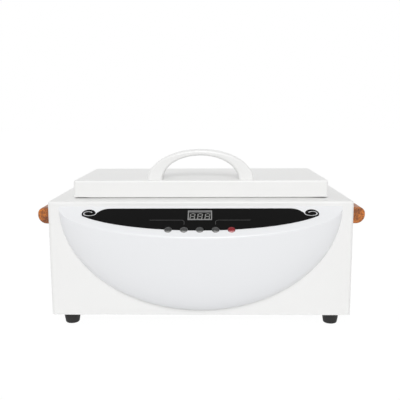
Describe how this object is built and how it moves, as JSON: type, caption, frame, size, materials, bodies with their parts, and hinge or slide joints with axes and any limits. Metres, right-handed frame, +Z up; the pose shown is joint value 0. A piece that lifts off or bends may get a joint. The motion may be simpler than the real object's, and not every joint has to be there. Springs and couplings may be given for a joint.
{
  "type": "dry-heat utensil sterilizer",
  "caption": "Bench-top sterilizer box: sheet-steel case with hinged lid and bow handle, heated tank and basket, bowl-shaped front control panel, side grips.",
  "frame": {"origin": "middle of the footprint's bounding box, on the table under the feet", "axes": "+X to the right seen from the front, -Y towards the user at the front, +Z up"},
  "size_m": [0.3728, 0.224, 0.193],
  "materials": {
    "white_enamel": "satin white baked enamel on sheet steel",
    "white_plastic": "glossy white moulded plastic",
    "black_film": "glossy black printed film",
    "grey_plastic": "light grey moulding",
    "display_face": "black face of a display",
    "display_segment": "unlit grey segment",
    "smoke_button": "translucent grey dome",
    "red_button": "red dome",
    "black_rubber": "moulded black rubber",
    "silicone": "pale silicone rubber",
    "grip_wood": "orange-brown hardwood, clear lacquer",
    "stainless": "satin stainless steel sheet",
    "plated_steel": "bright zinc plating",
    "galvanised": "galvanised sheet steel",
    "heater_sheath": "heat-darkened steel sheath",
    "glass_wool": "pale insulation blanket",
    "circuit_board": "green circuit board",
    "black_plastic": "black heat-resistant plastic",
    "switch_plastic": "black switch body",
    "transformer_core": "laminated core with taped coil",
    "terminal_plastic": "green terminal strip",
    "pin_brass": "nickel-plated brass",
    "cutout_alloy": "aluminium cup of a thermostat"
  },
  "bodies": {
    "case": {"base_plate": "galvanised", "base_screws": "plated_steel", "basket_handles": "stainless", "clamp_studs": "plated_steel", "control_board": "circuit_board", "control_board_screws": "plated_steel", "control_overlay": "black_film", "cover_screws": "plated_steel", "display_frame": "grey_plastic", "display_module": "display_face", "display_segments": "display_segment", "foot_nuts": "plated_steel", "foot_screws": "plated_steel", "front_cover": "white_plastic", "grip_screws": "plated_steel", "heater_clamps": "galvanised", "heater_element": "heater_sheath", "hinge_body_leaves": "plated_steel", "hinge_body_screws": "plated_steel", "hinge_pins": "plated_steel", "inlet_pins": "pin_brass", "inlet_screws": "plated_steel", "left_grip": "grip_wood", "outer_casing": "white_enamel", "power_board": "circuit_board", "power_board_screws": "plated_steel", "power_board_standoffs": "plated_steel", "power_inlet": "black_plastic", "push_switches": "switch_plastic", "relay": "black_plastic", "right_grip": "grip_wood", "rubber_feet": "black_rubber", "tank": "stainless", "tank_insulation": "glass_wool", "temperature_probe": "stainless", "terminal_block": "terminal_plastic", "thermal_cutout": "cutout_alloy", "tool_basket": "stainless", "transformer": "transformer_core"},
    "lid": {"lid_shell": "white_enamel", "lid_liner": "stainless", "lid_insulation": "glass_wool", "lid_seal": "silicone", "lid_handle": "white_plastic", "handle_screws": "plated_steel", "hinge_lid_leaves": "plated_steel", "hinge_lid_screws": "plated_steel"},
    "button_1_cap": {"button_1": "smoke_button"},
    "button_2_cap": {"button_2": "smoke_button"},
    "button_3_cap": {"button_3": "smoke_button"},
    "button_4_cap": {"button_4": "smoke_button"},
    "button_5_cap": {"button_5": "red_button"}
  },
  "joints": [
    {"name": "lid_hinge", "type": "hinge", "parent": "case", "child": "lid", "pos_m": [0, 0.08589, 0.1435], "axis": [-1, 0, 0], "range_deg": [0, 100]},
    {"name": "button_1_press", "type": "slide", "parent": "case", "child": "button_1_cap", "axis": [0, 0.5736, -0.8192], "range_m": [0, 0.0008], "stiffness_N_per_m": 400, "springref_m": -0.0005},
    {"name": "button_2_press", "type": "slide", "parent": "case", "child": "button_2_cap", "axis": [0, 0.5736, -0.8192], "range_m": [0, 0.0008], "stiffness_N_per_m": 400, "springref_m": -0.0005},
    {"name": "button_3_press", "type": "slide", "parent": "case", "child": "button_3_cap", "axis": [0, 0.5736, -0.8192], "range_m": [0, 0.0008], "stiffness_N_per_m": 400, "springref_m": -0.0005},
    {"name": "button_4_press", "type": "slide", "parent": "case", "child": "button_4_cap", "axis": [0, 0.5736, -0.8192], "range_m": [0, 0.0008], "stiffness_N_per_m": 400, "springref_m": -0.0005},
    {"name": "button_5_press", "type": "slide", "parent": "case", "child": "button_5_cap", "axis": [0, 0.5736, -0.8192], "range_m": [0, 0.0008], "stiffness_N_per_m": 400, "springref_m": -0.0005}
  ]
}
